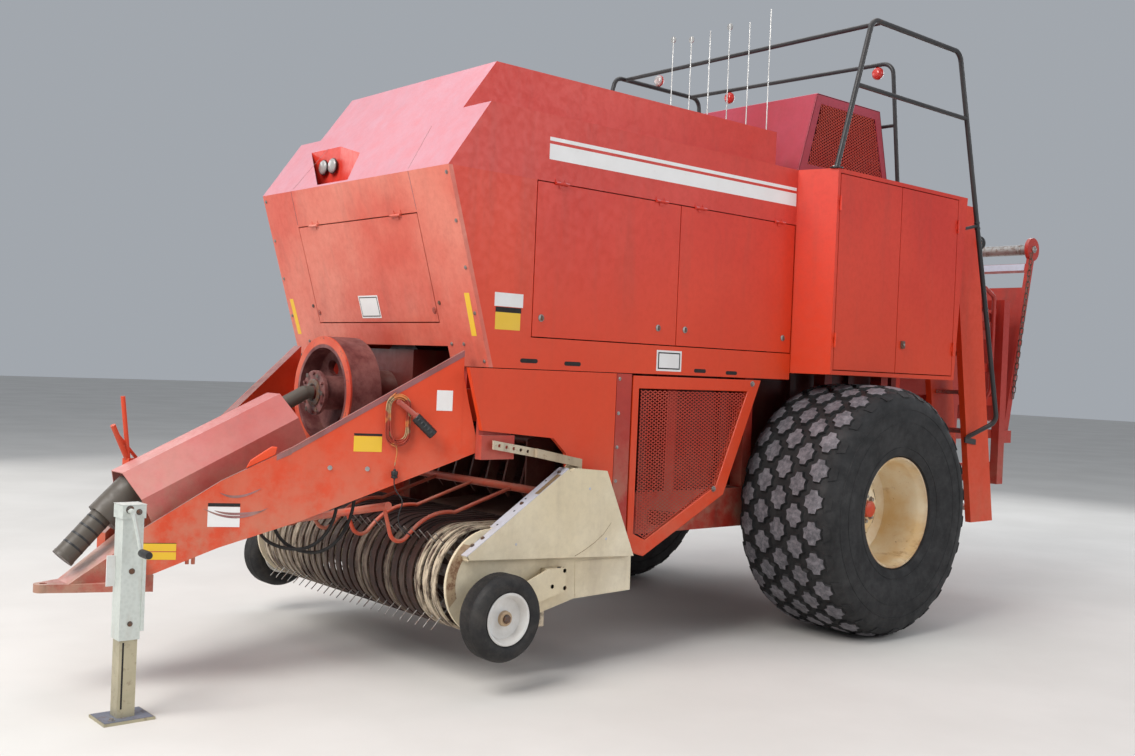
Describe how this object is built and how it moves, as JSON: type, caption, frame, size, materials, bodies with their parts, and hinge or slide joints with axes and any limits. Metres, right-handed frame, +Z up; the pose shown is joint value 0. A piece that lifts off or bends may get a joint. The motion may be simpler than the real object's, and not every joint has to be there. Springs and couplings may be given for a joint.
{
  "type": "large square baler",
  "caption": "Towed large square baler: red hood and side doors, twine boxes, railed platform, ladder, flywheel, tined pickup, folded bale chute and parking jack.",
  "frame": {"origin": "on the ground under the middle of the machine's overall box", "axes": "+X forward to the hitch, +Y to the machine's left, +Z up"},
  "size_m": [7.7514, 3, 4.034],
  "materials": {
    "red_paint": "weathered gloss",
    "dark_red_paint": "dirty matt",
    "cream_paint": "worn satin",
    "black_paint": "satin",
    "black_plastic": "matt",
    "worn_steel": "worn bright",
    "zinc": "galvanised",
    "rusty_iron": "rusted",
    "tyre": "dusty",
    "black_rubber": "matt",
    "wire": "tangled tan and red wires",
    "amber_lamp": "moulded lens"
  },
  "bodies": {
    "machine": {"chassis": "red_paint", "bale_chamber": "red_paint", "rear_rails": "red_paint", "gearbox": "dark_red_paint", "hood": "red_paint", "nose_panel": "red_paint", "side_panel_left": "red_paint", "side_panel_right": "red_paint", "lower_panel_left": "red_paint", "lower_panel_right": "red_paint", "mesh_guard_left": "red_paint", "mesh_guard_right": "red_paint", "twine_box_left": "red_paint", "twine_box_right": "red_paint", "deck": "dark_red_paint", "fan_housing": "red_paint", "platform_rails": "black_paint", "ladder": "red_paint", "flag_rods": "worn_steel", "lamps": "amber_lamp", "tongue_left": "red_paint", "tongue_right": "red_paint", "hitch": "rusty_iron", "drive_shield": "red_paint", "drive_guard": "black_plastic", "hose_stand": "red_paint", "jack_tube": "zinc", "feeder": "dark_red_paint", "control_lever": "red_paint", "hose_front": "black_rubber", "hose_rear": "black_rubber", "wire_hank": "wire", "wire_tail": "wire", "wire_plug": "black_rubber", "wire_lead": "wire"},
    "pickup": {"pickup_frame": "cream_paint", "stripper_bands": "cream_paint", "windguard": "red_paint", "lift_link": "cream_paint"},
    "reel": {"pickup_reel": "worn_steel"},
    "gauge_wheel_left": {"gauge_wheel_left": "tyre"},
    "gauge_wheel_right": {"gauge_wheel_right": "tyre"},
    "wheel_left": {"main_tyre_left": "tyre", "main_rim_left": "cream_paint"},
    "wheel_right": {"main_tyre_right": "tyre", "main_rim_right": "cream_paint"},
    "flywheel": {"flywheel": "red_paint"},
    "chute": {"chute": "red_paint", "chute_chains": "worn_steel"},
    "jack_leg": {"jack_leg": "zinc"},
    "front_door": {"front_door": "red_paint"},
    "side_door_left_front": {"side_door_left_front": "red_paint"},
    "twine_door_left_front": {"twine_door_left_front": "red_paint"},
    "side_door_left_rear": {"side_door_left_rear": "red_paint"},
    "twine_door_left_rear": {"twine_door_left_rear": "red_paint"},
    "side_door_right_front": {"side_door_right_front": "red_paint"},
    "twine_door_right_front": {"twine_door_right_front": "red_paint"},
    "side_door_right_rear": {"side_door_right_rear": "red_paint"},
    "twine_door_right_rear": {"twine_door_right_rear": "red_paint"}
  },
  "joints": [
    {"name": "main_wheel_left_spin", "type": "hinge", "parent": "machine", "child": "wheel_left", "pos_m": [-0.75021, 1.145, 0.78], "axis": [0, 1, 0], "continuous": true},
    {"name": "main_wheel_right_spin", "type": "hinge", "parent": "machine", "child": "wheel_right", "pos_m": [-0.75021, -1.145, 0.78], "axis": [0, 1, 0], "continuous": true},
    {"name": "pickup_lift", "type": "hinge", "parent": "machine", "child": "pickup", "pos_m": [1.25979, 0, 0.76], "axis": [0, 1, 0], "range_deg": [-8, 10]},
    {"name": "reel_spin", "type": "hinge", "parent": "pickup", "child": "reel", "pos_m": [2.02979, 0, 0.515], "axis": [0, 1, 0], "continuous": true},
    {"name": "gauge_wheel_left_spin", "type": "hinge", "parent": "pickup", "child": "gauge_wheel_left", "pos_m": [2.06979, 1.13, 0.373], "axis": [0, 1, 0], "continuous": true},
    {"name": "gauge_wheel_right_spin", "type": "hinge", "parent": "pickup", "child": "gauge_wheel_right", "pos_m": [2.06979, -1.13, 0.373], "axis": [0, 1, 0], "continuous": true},
    {"name": "flywheel_spin", "type": "hinge", "parent": "machine", "child": "flywheel", "pos_m": [2.35679, 0, 1.4], "axis": [1, 0, 0], "continuous": true},
    {"name": "front_door_hinge", "type": "hinge", "parent": "machine", "child": "front_door", "pos_m": [2.30431, 0, 2.32867], "axis": [0, -1, 0], "range_deg": [0, 100]},
    {"name": "chute_fold", "type": "hinge", "parent": "machine", "child": "chute", "pos_m": [-3.45021, 0, 1.18], "axis": [0, -1, 0], "range_deg": [0, 80]},
    {"name": "jack_slide", "type": "slide", "parent": "machine", "child": "jack_leg", "axis": [0, 0, 1], "range_m": [0, 0.31]},
    {"name": "side_door_left_front_hinge", "type": "hinge", "parent": "machine", "child": "side_door_left_front", "pos_m": [1.27929, 0.961, 2.529], "axis": [1, 0, 0], "range_deg": [0, 100]},
    {"name": "side_door_left_rear_hinge", "type": "hinge", "parent": "machine", "child": "side_door_left_rear", "pos_m": [0.24279, 0.961, 2.529], "axis": [1, 0, 0], "range_deg": [0, 100]},
    {"name": "twine_door_left_front_hinge", "type": "hinge", "parent": "machine", "child": "twine_door_left_front", "pos_m": [-0.37921, 1.208, 2.243], "axis": [0, 0, -1], "range_deg": [0, 90]},
    {"name": "twine_door_left_rear_hinge", "type": "hinge", "parent": "machine", "child": "twine_door_left_rear", "pos_m": [-1.71021, 1.208, 2.243], "axis": [0, 0, 1], "range_deg": [0, 90]},
    {"name": "side_door_right_front_hinge", "type": "hinge", "parent": "machine", "child": "side_door_right_front", "pos_m": [1.27929, -0.961, 2.529], "axis": [-1, 0, 0], "range_deg": [0, 100]},
    {"name": "side_door_right_rear_hinge", "type": "hinge", "parent": "machine", "child": "side_door_right_rear", "pos_m": [0.24279, -0.961, 2.529], "axis": [-1, 0, 0], "range_deg": [0, 100]},
    {"name": "twine_door_right_front_hinge", "type": "hinge", "parent": "machine", "child": "twine_door_right_front", "pos_m": [-0.37921, -1.208, 2.243], "axis": [0, 0, 1], "range_deg": [0, 90]},
    {"name": "twine_door_right_rear_hinge", "type": "hinge", "parent": "machine", "child": "twine_door_right_rear", "pos_m": [-1.71021, -1.208, 2.243], "axis": [0, 0, -1], "range_deg": [0, 90]}
  ]
}
